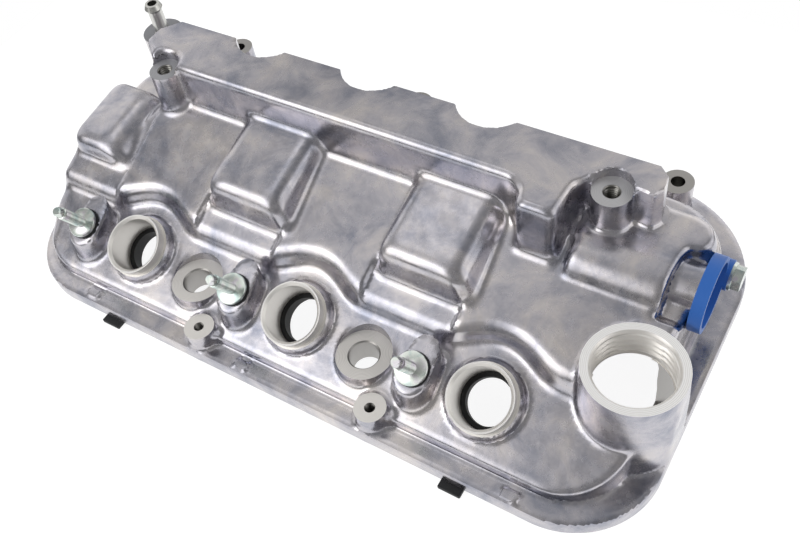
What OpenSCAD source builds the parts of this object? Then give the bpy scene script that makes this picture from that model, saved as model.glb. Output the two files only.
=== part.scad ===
// Valve cover for the front bank of a V6 engine, die cast aluminium.
// Lengths are millimetres. X runs along the cover, Y from front to back, Z up.
// The origin lies on the gasket bead, in the plane of the middle plug tube.
// Inside the modules Y starts at the front face of the flange and Z at its
// underside; seated() moves everything to the origin named above.

/* [Flange and walls] */
// Height of the flange's side face
flange_t = 7.3; // [6:0.1:9]
// Distance of the flange's side from the tube plane
flange_half = 174; // [173:0.5:178]
// Depth of the flange from front to back
flange_d = 195; // [190:1:205]
// Corner radius of the flange at the front left
flange_r_fl = 25; // [18:1:34]
// Corner radius of the flange at the front right
flange_r_fr = 29; // [20:1:34]
// Corner radius of the flange at the back right
flange_r_br = 47; // [35:1:55]
// Corner radius of the flange at the back left
flange_r_bl = 30; // [20:1:45]
// Thickness of the cast walls
wall = 3.6; // [2.8:0.1:4.4]

/* [Gasket] */
// Distance from the flange's side to the gasket groove
bead_in = 4; // [3.2:0.1:4.4]
// Width of the gasket bead
bead_w = 4; // [3:0.1:4.4]
// How far the bead stands out of the groove
bead_out = 2.5; // [1.5:0.1:3.5]
// Depth of the groove in the flange
groove_d = 3; // [2:0.1:4]
// Room between the bead and each side of its groove
bead_gap = 0.1; // [0.05:0.05:0.2]
// Length of the locating tabs along the flange
tab_l = 11; // [7:0.5:16]
// How far the locating tabs stand out in front
tab_out = 3.6; // [2:0.2:5]

/* [Coil deck] */
// Slope of the coil deck and of the plug tubes
deck_slope = 26; // [25:0.5:27]
// Height of the coil deck at its front edge
deck_z = 12; // [11:0.2:13]
// Width of the ledge in front of the coil deck
ledge = 10; // [9:0.2:11]
// Spacing of the plug tubes
pitch = 98; // [97:0.2:99]
// Outer diameter of the plug tube collar
tube_d = 30.2; // [29.8:0.1:32]
// Diameter of the plug tube bore
tube_bore = 26.4; // [25:0.1:26.6]
// Height of the collar over the deck
tube_h = 10.3; // [9:0.1:12]
// Diameter of the cast shoulder under the collar
shoulder_d = 35; // [34:0.5:37]
// Height of the cast shoulder over the deck
shoulder_h = 4; // [3:0.2:6]

/* [Plug tube seals] */
// Outer diameter of the tube seal
seal_d = 29; // [28.4:0.1:29.4]
// Inner diameter of the tube seal's lip
seal_lip_d = 21.5; // [20:0.5:23]
// Height of the tube seal
seal_h = 9; // [7:0.5:10]
// Room between the seal and its seat
seal_gap = 0.02; // [0.01:0.01:0.05]

/* [Coil studs] */
// Diameter of the coil stud's thread
stud_d = 6; // [5:0.5:6.5]
// Length of the stud over its disc
stud_h = 21; // [16:0.5:26]
// Diameter of the stud's disc
stud_disc_d = 15.4; // [13:0.2:15.8]
// Thickness of the stud's disc
stud_disc_t = 1.8; // [1.2:0.1:2.4]
// Thickness of the rubber ring under the disc
stud_ring_t = 1.4; // [0.8:0.1:2]
// Depth of the stud's thread in the boss
stud_in = 12; // [8:0.5:14]
// Room round each screw thread
thread_gap = 0.02; // [0.01:0.01:0.05]

/* [Cover bolt bosses] */
// Diameter of the spot faced front bosses
front_boss_d = 26.2; // [24:0.2:28]
// Height of their faces over the flange's underside
front_boss_z = 22; // [20:0.5:24]
// Diameter of the holes for the cover bolts and their sleeves
bolt_hole_d = 14; // [10:0.5:16]
// Diameter of the rear cover bolt bosses
rear_boss_d = 16; // [14:0.5:18]
// Diameter of the rear bolt holes
rear_hole_d = 7; // [5:0.5:9]

/* [Bracket bosses] */
// Diameter of the front edge bosses
edge_boss_d = 14.8; // [13:0.2:16]
// Height of the front edge bosses over the flange's underside
edge_boss_z = 17; // [15:0.5:20]
// Diameter of the tapped holes in the edge bosses
edge_hole_d = 5; // [4:0.2:6.6]
// Depth of the tapped holes in the edge bosses
edge_hole_h = 12; // [8:0.5:13]
// Diameter of the tapped hole in the top bosses
top_hole_d = 6.8; // [5:0.2:8]
// Depth of the tapped holes in the top bosses
top_hole_h = 16; // [10:1:20]

/* [Upper deck and chamber] */
// Radius of the wall's bay behind each plug tube
bay_r = 24.5; // [23:0.5:25.5]
// Radius that blends each bay into the straight wall
bay_blend = 8; // [6:0.5:10]
// Height of the upper deck at its front edge
upper_z = 37.4; // [36:0.2:39]
// Slope of the upper deck
upper_slope = 21.8; // [21:0.2:22.4]
// Height of the separator chamber's top
chamber_z = 85; // [83:0.5:90]
// Radius of the clearance notches in the chamber's back
notch_r = 18; // [15:0.5:20]

/* [Oil filler] */
// Outer diameter of the filler neck at its face
filler_d = 43; // [41:0.5:43]
// Height of the filler's face over the flange's underside
filler_z = 52; // [50:0.5:60]
// Smallest diameter of the filler's thread
filler_bore = 34; // [30:0.5:36]
// Pitch of the filler's thread
filler_pitch = 3.6; // [3:0.1:4.5]
// Depth of the filler's thread grooves
filler_groove = 1.2; // [0.6:0.1:1.6]

/* [Valve plug] */
// Diameter of the valve plug's rim
plug_rim_d = 34; // [30:0.5:36]
// Width of the valve plug's rim
plug_rim_w = 5.5; // [4:0.5:8]
// Diameter of the plug's spigot
plug_d = 18; // [14:0.5:19]
// Room round the spigot in its bore
plug_gap = 0.1; // [0.05:0.05:0.2]
// Depth of the spigot in its bore
plug_in = 22; // [16:1:26]

/* [Breather nipple] */
// Outer diameter of the nipple
nipple_d = 7.8; // [6:0.2:9]
// Length of the nipple over its boss
nipple_h = 18; // [12:1:24]

/* [Hidden] */
$fn = 48;
far = 400;
body_l = -flange_half + 8.2;
body_r = flange_half - 12.5;
body_back = flange_d - 23;
rim_y = 27.5;
rim_z = deck_z + (rim_y - 10) * tan(deck_slope) + tube_h / cos(deck_slope) + 0.1;
wall_y = 47;
bay_y = 30.8;
blend_x = sqrt(pow(bay_r + bay_blend, 2) - pow(wall_y + bay_blend - bay_y, 2));
stud_x = [for (i = [-1, 0, 1]) i * pitch - 31.6];
stud_y = 25.8;
stud_z = 34.4;
front_boss_x = [for (i = [-1, 0]) i * pitch + 38.1];
front_boss_y = 28.5;
edge_boss_x = [for (i = [-1, 0]) i * pitch + 52.6];
edge_boss_y = 8.7;
rear_boss_x = [-flange_half + 25.2, -22, flange_half - 48];
rear_boss_y = flange_d - 13.8;
rear_boss_z = 24.6;
rear_z = 24;
boss_l = [body_l + 47.2, 101.6, chamber_z - 6, 8.3];
boss_r = [body_r - 44.6, 114.2, chamber_z - 5, 9.2];
filler_x = flange_half - 21.7;
filler_low = filler_z - 16;
filler_y = 56.6;
drum_l = 34;
drum_x = body_r - 14.5 - drum_l;
drum_y = 98;
drum_z = 50;
drum_r = 14;
plug_y = 105;
plug_z = 48.5;
plug_x = body_r + 0.3;
tab_y = 124;
tab_z = 40.5;
bulge_x = [for (i = [-1, 0]) i * pitch + 51];
terrace_z = 64;
left_z = 52.5;
baffle_z = 57;
baffle_t = 1.5;
screw_xy = [[body_l + 65.8, 109], [-40, 109], [22, 109], [body_r - 91.5, 109]];
nip_x = body_l + 12.2;
nip_y = 136;
nip_z = 68.5;
fast = [0.78, 0.8, 0.78];

seated() cover();
seated() gasket();
seated() tube_seal(-pitch);  // tube_seal_1
seated() tube_seal(0);  // tube_seal_2
seated() tube_seal(pitch);  // tube_seal_3
seated() stud(stud_x[0]);  // stud_1
seated() stud(stud_x[1]);  // stud_2
seated() stud(stud_x[2]);  // stud_3
seated() stud_ring(stud_x[0]);  // stud_ring_1
seated() stud_ring(stud_x[1]);  // stud_ring_2
seated() stud_ring(stud_x[2]);  // stud_ring_3
seated() baffle();
seated() baffle_screw(screw_xy[0]);  // baffle_screw_1
seated() baffle_screw(screw_xy[1]);  // baffle_screw_2
seated() baffle_screw(screw_xy[2]);  // baffle_screw_3
seated() baffle_screw(screw_xy[3]);  // baffle_screw_4
seated() valve_plug();
seated() plug_ring();
seated() plug_bolt();
seated() nipple();

// Moves a piece from the flange's corner to the origin on the gasket bead
module seated()
{
  translate([0, -(bead_in + bead_w / 2), bead_out]) children();
}

// A four cornered outline with a true arc of its own radius at each corner
module rounded(x0, y0, x1, y1, fl, fr, br, bl)
{
  translate([x0 + fl, y0 + fl]) circle(r = fl);
  translate([x1 - fr, y0 + fr]) circle(r = fr);
  translate([x1 - br, y1 - br]) circle(r = br);
  translate([x0 + bl, y1 - bl]) circle(r = bl);
  polygon([[x0 + fl, y0], [x1 - fr, y0], [x1, y0 + fr], [x1, y1 - br],
    [x1 - br, y1], [x0 + bl, y1], [x0, y1 - bl], [x0, y0 + fl]]);
}

module flange_shape(t)
{
  rounded(-flange_half + t, t, flange_half - t, flange_d - t,
    flange_r_fl - t, flange_r_fr - t, flange_r_br - t, flange_r_bl - t);
}

module body_shape(t)
{
  rounded(body_l + t, ledge + t, body_r - t, body_back - t, 24 - t, 30 - t, 36 - t, 24 - t);
}

// Places a side view, drawn as Y and Z, along X from x0 to x1
module along_x(x0, x1)
{
  translate([x0, 0, 0]) rotate([90, 0, 90]) linear_extrude(height = x1 - x0) children();
}

// Places a front view, drawn as X and Z, along Y from y0 to y1
module along_y(y0, y1)
{
  translate([0, y1, 0]) rotate([90, 0, 0]) linear_extrude(height = y1 - y0) children();
}

// Everything under the sloped coil deck and the low rear deck
module lower_body(t, low)
{
  drop = t / cos(deck_slope);
  intersection()
  {
    translate([0, 0, low]) linear_extrude(height = 60) body_shape(t);
    along_x(-far, far) polygon([[0, low - 1], [0, deck_z - drop - 10 * tan(deck_slope)],
      [62, deck_z - drop + 52 * tan(deck_slope)], [120, deck_z - drop + 52 * tan(deck_slope)],
      [134, rear_z - t], [far, rear_z - t], [far, low - 1]]);
  }
}

// The front line of the upper deck, with a bay behind each plug tube
module upper_shape(t)
{
  difference()
  {
    rounded(body_l + t, 20, body_r - t, 131 - t, 2, 2, 14 - t, 14 - t);
    translate([-far, 0]) square([2 * far, wall_y + t]);
    for (i = [-1, 0, 1]) translate([i * pitch, 0])
    {
      difference()
      {
        union()
        {
          polygon([[-blend_x, wall_y - 1], [-blend_x, wall_y + t], [-blend_x, wall_y + bay_blend],
            [0, bay_y], [blend_x, wall_y + bay_blend], [blend_x, wall_y + t], [blend_x, wall_y - 1]]);
          translate([0, bay_y]) circle(r = bay_r + t);
        }
        for (s = [-1, 1]) translate([s * blend_x, wall_y + bay_blend]) circle(r = bay_blend - t);
      }
    }
  }
}

function upper(y) = upper_z + (y - 45.4) * tan(upper_slope);

module upper_body(t, low)
{
  drop = t / cos(upper_slope);
  intersection()
  {
    translate([0, 0, low]) linear_extrude(height = 70) upper_shape(t);
    along_x(-far, far) polygon([[30, low - 1], [30, upper(30) - drop],
      [102, upper(102) - drop], [far, upper(102) - drop], [far, low - 1]]);
    along_y(-far, far) polygon([[-far, low - 1], [-far, 42 - t], [body_l + 36.8 + t, 42 - t],
      [body_l + 42.8 + t, 80], [far, 80], [far, low - 1]]);
  }
}

// Points of an arc round c from angle a to angle b
function arc(c, r, a, b) = [for (i = [0:5]) c + r * [cos(a + (b - a) * i / 5), sin(a + (b - a) * i / 5)]];

// The two raised boxes over the valve gear, behind the gaps between the tubes
module bulge(x, t)
{
  w = 20.6 - t;
  y0 = 60 + t;
  z0 = 59 - t;
  intersection()
  {
    along_x(x - 30, x + 30) polygon(concat([[106, 22], [y0, 22]], arc([y0 + 6, z0 - 6], 6, 180, 100),
      [[106, z0 + 10.5]]));
    along_y(40, 110) translate([x, 0]) polygon(concat([[w + 4, 21], [w + 4, 43]],
      arc([w - 5, z0 + 5], 5, 0, 90), arc([-w + 5, z0 + 5], 5, 90, 180), [[-w - 4, 43], [-w - 4, 21]]));
  }
}

// The raised box at the left end
module end_bulge(t)
{
  z0 = left_z - t;
  intersection()
  {
    along_x(body_l - 20, body_l + 60) polygon(concat([[104 - t, 12], [61 + t, 12]],
      arc([66 + t, z0 - 5], 5, 180, 90), arc([99 - t, z0 - 5], 5, 90, 0)));
    along_y(40, 120) polygon(concat([[body_l + 36.8 - t, 11], [body_l + 34.8 - t, 38]],
      arc([body_l + 24.8 - t, z0 - 5], 5, 0, 90),
      arc([body_l + t + 5, z0 - 5], 5, 90, 180), [[body_l + t, 11]]));
  }
}

// Top view of the separator chamber
module chamber_shape(t)
{
  difference()
  {
    polygon([[body_l + 61.8 + t, 101 + t], [body_r - 85.5 - t / 2, 101 + t], [body_r - 79 + t, 97 + t],
      [body_r - 77 + t, 88.5 + t], [body_r - 59.5 - t, 88.5 + t], [body_r - 58 - t, 108],
      [body_r - 54.5 - t, 116 + t], [body_r - 44.5, 120.5 + t], [body_r - 35.5, 116.5 + t],
      [body_r - 27.5 - t, 115.5 + t], [body_r - 25 - t, 120 + t], [body_r - 25.5 - t, 126.5 - t],
      [body_r - 30.5 - t, 131 - t], [body_l + 37.3 + t, 131 - t], [body_l + 29.3 + t, 121.5 - t],
      [body_l + 29.3 + t, 111 + t], [body_l + 37.8 + t, 104 + t]]);
    for (x = [-77, -13, 50]) translate([x, 122.5 + notch_r]) circle(r = notch_r + t);
    for (b = [boss_l, boss_r]) translate([b[0], b[1]]) circle(r = b[3] - 0.1 + t);
  }
}

module chamber(t, low)
{
  translate([0, 0, low]) linear_extrude(height = chamber_z - t - low) chamber_shape(t);
}

// The flat terrace at the right end and the bed of the top boss
module terrace(t, low)
{
  translate([0, 0, low]) linear_extrude(height = terrace_z - t - low)
    polygon([[body_r - 57.5 + t, 101 + t], [body_r - 55.5 + t, 99 + t], [body_r - 11.5 - t, 99 + t],
      [body_r - 9.5 - t, 112 + t], [body_r - 4 - t, 112 + t], [body_r - 0.1 - t, 116 + t],
      [body_r - 0.1 - t, 121], [body_r - 4 - t, 128.5 - t / 2], [body_r - 11, 131.5 - t],
      [body_r - 57.5 + t, 131.5 - t]]);
}

// The drum that holds the crankcase valve, and its neck
module drum()
{
  translate([drum_x, drum_y, drum_z]) rotate([0, 90, 0]) cylinder(r = drum_r, h = drum_l);
  translate([drum_x - 3, drum_y, drum_z]) rotate([0, 90, 0])
    cylinder(r1 = drum_r - 3, r2 = drum_r, h = 3.01);
  translate([drum_x + drum_l - 0.1, drum_y, drum_z]) rotate([0, 90, 0])
    cylinder(r1 = drum_r, r2 = drum_r - 3, h = 3);
  translate([body_r - 31.5, plug_y, plug_z]) rotate([0, 90, 0]) cylinder(r = plug_d / 2 + 4.5, h = 31.5);
  translate([body_r - 31.5, tab_y, tab_z]) rotate([0, 90, 0]) cylinder(r = 8, h = 31.5);
}

module tube_axis(x)
{
  translate([x, rim_y, rim_z]) rotate([deck_slope, 0, 0]) children();
}

module stud_axis(x)
{
  translate([x, stud_y, stud_z]) rotate([deck_slope, 0, 0]) children();
}

// Cast boss with upright sides, cut square to the stud at its top
module stud_boss(x)
{
  difference()
  {
    translate([x, 0, 4]) linear_extrude(height = 42)
    {
      translate([0, 24.6]) circle(r = 8.6);
      translate([1.5, 35]) circle(r = 7);
      polygon([[-8.6, 24.6], [-5.5, 35], [8.5, 35], [8.6, 24.6]]);
    }
    stud_axis(x) translate([-30, -30, -stud_ring_t]) cube([60, 60, 40]);
  }
}

module cast_outside()
{
  linear_extrude(height = flange_t) flange_shape(0);
  lower_body(0, 0);
  upper_body(0, 1);
  bulge(bulge_x[0], 0);
  bulge(bulge_x[1], 0);
  end_bulge(0);
  chamber(0, 8);
  terrace(0, 8);
  drum();
  for (b = [boss_l, boss_r]) translate([b[0], b[1], 20]) cylinder(r = b[3], h = b[2] - 20);
  translate([nip_x, nip_y, 6]) cylinder(r = 11, h = nip_z - 6);
  for (x = stud_x) stud_boss(x);
  for (x = front_boss_x) translate([x, front_boss_y, 0]) cylinder(d = front_boss_d, h = front_boss_z);
  for (x = edge_boss_x)
  {
    translate([x, edge_boss_y, 0]) cylinder(d = edge_boss_d, h = edge_boss_z);
    translate([x - 1, edge_boss_y, 0]) cube([edge_boss_d / 2 + 1, 12, edge_boss_z - 1]);
  }
  for (x = rear_boss_x) translate([x, rear_boss_y, 0]) cylinder(d = rear_boss_d, h = rear_boss_z);
  for (p = [[-116.6, 4.7], [-19, 4.3], [122.9, 4]])
    translate([p[0] - 4, p[1] - 2.5, 1]) cube([8, 5, flange_t]);
  intersection()
  {
    translate([filler_x, filler_y, 0]) cylinder(r1 = filler_d / 2 + 2.4, r2 = filler_d / 2, h = filler_z);
    linear_extrude(height = 80) flange_shape(0.2);
  }
  intersection()
  {
    along_x(flange_half - 9, flange_half - 0.6) polygon([[49, 5], [49, 40], [57, 50], [66, 40], [66, 5]]);
    linear_extrude(height = 80) flange_shape(0.2);
  }
  for (i = [-1, 0, 1]) tube_axis(i * pitch)
  {
    translate([0, 0, -tube_h - 2]) cylinder(d = tube_d, h = tube_h + 2);
    translate([0, 0, -tube_h - 4]) cylinder(d = shoulder_d, h = shoulder_h + 4);
  }
}

// The open space under the cover
module cavity()
{
  lower_body(wall, -1);
  upper_body(wall, 0);
  bulge(bulge_x[0], wall);
  bulge(bulge_x[1], wall);
  end_bulge(wall);
  chamber(wall, 7);
  terrace(wall, 7);
}

module inside_bosses()
{
  for (i = [-1, 0, 1]) tube_axis(i * pitch) translate([0, 0, -tube_h - 15]) cylinder(d = 35.6, h = 18);
  for (x = stud_x) difference()
  {
    stud_boss(x);
    translate([x - 20, 0, 0]) cube([40, 60, 8]);
  }
  for (x = front_boss_x) translate([x, front_boss_y, 1]) cylinder(d = front_boss_d + 4, h = front_boss_z - 1);
  for (x = edge_boss_x) translate([x, edge_boss_y, 1]) cylinder(d = edge_boss_d, h = edge_boss_z - 1);
  for (b = [boss_l, boss_r]) translate([b[0], b[1], 56]) cylinder(r = b[3], h = b[2] - 56);
  translate([nip_x, nip_y, 30]) cylinder(r = 11, h = nip_z - 30);
  translate([drum_x + 5, drum_y, drum_z]) rotate([0, 90, 0]) cylinder(r = drum_r, h = drum_l - 6);
  translate([body_r - 31.5, plug_y, plug_z]) rotate([0, 90, 0]) cylinder(r = plug_d / 2 + 4.5, h = 30.5);
  translate([body_r - 18.5, tab_y, tab_z]) rotate([0, 90, 0]) cylinder(r = 8, h = 17.5);
  difference()
  {
    translate([filler_x, filler_y, 22]) cylinder(r = filler_d / 2 + 0.8, h = 28);
    translate([body_r - wall + 0.1, 0, 0]) cube([40, 120, 80]);
  }
  for (p = screw_xy) translate([p[0], p[1], baffle_z + baffle_t])
    cylinder(r = 4, h = chamber_z - wall / 2 - baffle_z - baffle_t);
}

// Machined faces, bores and threads
module machining()
{
  for (i = [-1, 0, 1]) tube_axis(i * pitch)
  {
    translate([0, 0, -60]) cylinder(d = tube_bore, h = 70);
    translate([0, 0, -60]) cylinder(d = seal_d + 2 * seal_gap, h = 60 - tube_h - 15 + seal_h);
    translate([0, 0, -1.2]) cylinder(d1 = tube_bore, d2 = tube_bore + 2.6, h = 1.3);
    cylinder(d = 60, h = 12);
  }
  for (x = stud_x) stud_axis(x) translate([0, 0, -stud_in - 2])
    cylinder(d = stud_d + 2 * thread_gap, h = stud_in + 6);
  for (x = front_boss_x) translate([x, front_boss_y, 0])
  {
    translate([0, 0, front_boss_z]) cylinder(d = front_boss_d + 0.6, h = 30);
    translate([0, 0, -5]) cylinder(d = bolt_hole_d, h = 60);
  }
  for (x = edge_boss_x) translate([x, edge_boss_y, edge_boss_z - edge_hole_h])
    cylinder(d = edge_hole_d, h = 30);
  for (x = rear_boss_x) translate([x, rear_boss_y, -5]) cylinder(d = rear_hole_d, h = 40);
  for (p = [boss_l, boss_r]) translate([p[0], p[1], p[2] - top_hole_h]) cylinder(d = top_hole_d, h = 40);
  translate([filler_x, filler_y, filler_low]) cylinder(d = filler_bore, h = 60);
  translate([filler_x, filler_y, flange_t]) cylinder(d = filler_bore - 1, h = 40);
  intersection()
  {
    translate([filler_x, filler_y, 21]) cylinder(d = filler_bore + 6, h = filler_low - 21);
    translate([body_r - wall - 60, filler_y, 0]) cube([60, 60, 80]);
  }
  for (i = [0:3]) translate([filler_x, filler_y, filler_z - 3.4 - i * filler_pitch])
    rotate_extrude() polygon([[filler_bore / 2 - 1, -1.5], [filler_bore / 2, -1.5],
      [filler_bore / 2 + filler_groove, -0.4], [filler_bore / 2 + filler_groove, 0.4],
      [filler_bore / 2, 1.5], [filler_bore / 2 - 1, 1.5]]);
  translate([filler_x, filler_y, filler_z - 1]) cylinder(d1 = filler_bore, d2 = filler_bore + 2.2, h = 1.1);
  translate([body_r - plug_in - 4, plug_y, plug_z]) rotate([0, 90, 0])
    cylinder(d = plug_d + 2 * plug_gap, h = 60);
  translate([body_r - 16, tab_y, tab_z]) rotate([0, 90, 0]) cylinder(d = 6 + 2 * thread_gap, h = 40);
  translate([nip_x, nip_y, 10]) cylinder(d = nipple_d + 0.6 + 2 * thread_gap, h = 90);
  for (p = screw_xy) translate([p[0], p[1], baffle_z]) cylinder(d = 4 + 2 * thread_gap, h = 12);
  translate([0, 0, -1]) linear_extrude(height = groove_d + 1) difference()
  {
    flange_shape(bead_in - bead_gap);
    flange_shape(bead_in + bead_w + bead_gap);
  }
}

module cover()
{
  color([0.75, 0.76, 0.78]) difference()
  {
    union()
    {
      difference()
      {
        cast_outside();
        cavity();
      }
      inside_bosses();
    }
    machining();
  }
}

module gasket()
{
  color([0.06, 0.06, 0.06])
  {
    translate([0, 0, -bead_out]) linear_extrude(height = bead_out + groove_d - 0.1) difference()
    {
      flange_shape(bead_in);
      flange_shape(bead_in + bead_w);
    }
    for (x = [-102, 97]) translate([x - tab_l / 2, -tab_out, -bead_out])
      cube([tab_l, tab_out + bead_in + 1, bead_out - 0.1]);
  }
}

// Rubber seal that rides on the spark plug tube
module tube_seal(x)
{
  color([0.05, 0.05, 0.05]) tube_axis(x) translate([0, 0, -tube_h - 15]) difference()
  {
    cylinder(d = seal_d, h = seal_h - 0.1);
    translate([0, 0, -1]) cylinder(d = seal_lip_d + 3, h = 6);
    translate([0, 0, -1]) cylinder(d = seal_lip_d, h = seal_h + 2);
  }
}

module stud(x)
{
  color(fast) stud_axis(x)
  {
    translate([0, 0, -stud_in]) cylinder(d = stud_d, h = stud_in + stud_h - 4);
    cylinder(d = stud_disc_d, h = stud_disc_t);
    translate([0, 0, stud_h - 4]) cylinder(d = stud_d - 1, h = 3);
    translate([0, 0, stud_h - 1.01]) cylinder(d1 = stud_d - 1, d2 = stud_d - 2.4, h = 1.01);
  }
}

module stud_ring(x)
{
  color([0.05, 0.05, 0.05]) stud_axis(x) translate([0, 0, -stud_ring_t]) difference()
  {
    cylinder(d = stud_disc_d + 0.5, h = stud_ring_t);
    translate([0, 0, -1]) cylinder(d = stud_d + 0.4, h = 4);
  }
}

// Sheet that closes the separator chamber from below, with two ways for gas and oil
module baffle()
{
  color([0.62, 0.63, 0.65]) translate([0, 0, baffle_z]) linear_extrude(height = baffle_t) difference()
  {
    polygon([[body_l + 42.8, 108.4], [body_l + 65.8, 105.2], [body_r - 87, 105.2], [body_r - 75.1, 101.3],
      [body_r - 72.7, 93], [body_r - 63.9, 93], [body_r - 62.5, 109], [body_r - 58.5, 121],
      [body_r - 49.5, 126.5], [body_l + 41.8, 126.5], [body_l + 34.8, 120], [body_l + 34.8, 114.5]]);
    for (x = [-77, -13, 50]) translate([x, 122.5 + notch_r]) circle(r = notch_r + wall + 0.8);
    for (p = screw_xy) translate(p) circle(d = 4.5);
    translate([body_l + 50.8, 119.5]) circle(d = 7);
    translate([body_r - 68.5, 104]) circle(d = 9);
    translate([boss_l[0], boss_l[1]]) circle(r = boss_l[3] + wall + 0.5);
  }
}

module baffle_screw(p)
{
  color(fast) translate([p[0], p[1], baffle_z])
  {
    cylinder(d = 4, h = 11);
    translate([0, 0, -2.2]) cylinder(d = 7.6, h = 2.2);
  }
}

// Plastic valve body with a cup shaped rim and an ear for its bolt
module valve_plug()
{
  color([0.18, 0.4, 0.71]) difference()
  {
    union()
    {
      translate([plug_x, plug_y, plug_z]) rotate([0, 90, 0])
      {
        cylinder(d = plug_rim_d, h = plug_rim_w);
        translate([0, 0, -plug_in]) cylinder(d = plug_d, h = plug_in + 1);
      }
      translate([plug_x, tab_y, tab_z]) rotate([0, 90, 0]) cylinder(d = 14, h = plug_rim_w + 1.5);
      along_x(plug_x, plug_x + 4) polygon([[plug_y + 8, plug_z + 13], [tab_y + 3, tab_z + 6.3],
        [tab_y - 3, tab_z - 6.3], [plug_y + 2, plug_z - 14]]);
    }
    translate([plug_x, plug_y, plug_z]) rotate([0, 90, 0])
    {
      translate([0, 0, 1.6]) cylinder(d = plug_rim_d - 5, h = 20);
      translate([0, 0, -plug_in - 1]) cylinder(d = plug_d - 8, h = 60);
      translate([0, 0, -7]) difference()
      {
        cylinder(d = plug_d + 4, h = 3);
        translate([0, 0, -1]) cylinder(d = plug_d - 3, h = 5);
      }
    }
    translate([plug_x - 1, tab_y, tab_z]) rotate([0, 90, 0]) cylinder(d = 6.4, h = 30);
  }
}

module plug_ring()
{
  color([0.05, 0.05, 0.05]) translate([plug_x - 6.9, plug_y, plug_z]) rotate([0, 90, 0]) difference()
  {
    cylinder(d = plug_d + 0.1, h = 2.8);
    translate([0, 0, -1]) cylinder(d = plug_d - 2.9, h = 5);
  }
}

module plug_bolt()
{
  color(fast) translate([plug_x + plug_rim_w + 1.5, tab_y, tab_z]) rotate([0, 90, 0])
  {
    translate([0, 0, -plug_rim_w - 14]) cylinder(d = 6, h = plug_rim_w + 15);
    cylinder(d = 12.6, h = 1.3);
    translate([0, 0, 1]) cylinder(d = 11.2, h = 4.2, $fn = 6);
  }
}

module nipple()
{
  color([0.74, 0.74, 0.72]) translate([nip_x, nip_y, nip_z]) difference()
  {
    union()
    {
      translate([0, 0, -12]) cylinder(d = nipple_d + 0.6, h = 12);
      translate([0, 0, -1]) cylinder(d = nipple_d, h = nipple_h + 1);
      translate([0, 0, nipple_h - 4]) cylinder(d1 = nipple_d, d2 = nipple_d + 2, h = 1.5);
      translate([0, 0, nipple_h - 2.6]) cylinder(d1 = nipple_d + 2, d2 = nipple_d, h = 2.6);
    }
    translate([0, 0, -13]) cylinder(d = nipple_d - 2.6, h = nipple_h + 20);
  }
}
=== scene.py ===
# Engine valve cover: the looks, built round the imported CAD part.
# Lengths are millimetres in the flange's own coordinates (Y from its front face,
# Z from its underside) until toFrame turns them into metres in the shared frame.
import math

import bmesh
import bpy
import numpy as np
from mathutils import Matrix, Vector


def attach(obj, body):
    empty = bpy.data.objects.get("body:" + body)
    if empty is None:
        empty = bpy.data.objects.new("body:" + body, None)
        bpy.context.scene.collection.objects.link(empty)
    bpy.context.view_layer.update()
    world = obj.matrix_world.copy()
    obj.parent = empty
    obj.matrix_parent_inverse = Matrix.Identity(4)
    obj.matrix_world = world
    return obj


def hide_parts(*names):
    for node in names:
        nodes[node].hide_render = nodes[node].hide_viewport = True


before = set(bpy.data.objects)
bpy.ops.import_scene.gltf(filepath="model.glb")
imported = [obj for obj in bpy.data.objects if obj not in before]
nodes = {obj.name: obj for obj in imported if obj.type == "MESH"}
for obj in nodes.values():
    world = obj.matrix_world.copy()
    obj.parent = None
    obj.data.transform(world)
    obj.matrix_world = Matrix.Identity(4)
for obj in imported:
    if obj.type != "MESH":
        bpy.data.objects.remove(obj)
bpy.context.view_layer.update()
print("stage: frame loaded")

OFFSET = np.array([0.0, -6.0, 2.5])
SLOPE = math.radians(26)
SIN, COS = math.sin(SLOPE), math.cos(SLOPE)


def toFrame(points):
    return (np.asarray(points, float) + OFFSET) / 1000


# Camera at the photograph's viewpoint: 41.3 mm on a 36 mm sensor, rolled a little
CAMERA = {"place": (205.16, -133.08, 366.32), "azimuth": -0.6989, "elevation": 0.8937,
          "roll": -0.2046, "lens": 41.305}


def addCamera():
    az, el, roll = CAMERA["azimuth"], CAMERA["elevation"], CAMERA["roll"]
    ahead = Vector((math.sin(az) * math.cos(el), math.cos(az) * math.cos(el), -math.sin(el)))
    side = ahead.cross(Vector((0, 0, 1))).normalized()
    up = side.cross(ahead)
    right = math.cos(roll) * side + math.sin(roll) * up
    above = -math.sin(roll) * side + math.cos(roll) * up
    data = bpy.data.cameras.new("camera")
    data.sensor_width = 36
    data.lens = CAMERA["lens"]
    data.clip_start, data.clip_end = 0.01, 20
    camera = bpy.data.objects.new("camera", data)
    bpy.context.scene.collection.objects.link(camera)
    turn = Matrix((right, above, -ahead)).transposed().to_4x4()
    camera.matrix_world = Matrix.Translation(toFrame(CAMERA["place"])) @ turn
    bpy.context.scene.camera = camera


addCamera()


# Linear colour of a hex code: v / 12.92 up to 0.04045, ((v + 0.055) / 1.055)^2.4 above.
def srgb(code):
    values = [int(code[i:i + 2], 16) / 255 for i in (1, 3, 5)]
    linear = [v / 12.92 if v <= 0.04045 else ((v + 0.055) / 1.055) ** 2.4 for v in values]
    return (*linear, 1.0)


def addNode(tree, kind, **sockets):
    node = tree.nodes.new(kind)
    for key, value in sockets.items():
        name = key.replace("_", " ")
        if name in node.inputs:
            node.inputs[name].default_value = value
        else:
            setattr(node, key, value)
    return node


def newMaterial(name, colour, metallic, roughness):
    material = bpy.data.materials.new(name)
    material.use_nodes = True
    shader = material.node_tree.nodes["Principled BSDF"]
    shader.inputs["Base Color"].default_value = srgb(colour)
    shader.inputs["Metallic"].default_value = metallic
    shader.inputs["Roughness"].default_value = roughness
    return material, material.node_tree, shader


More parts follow.
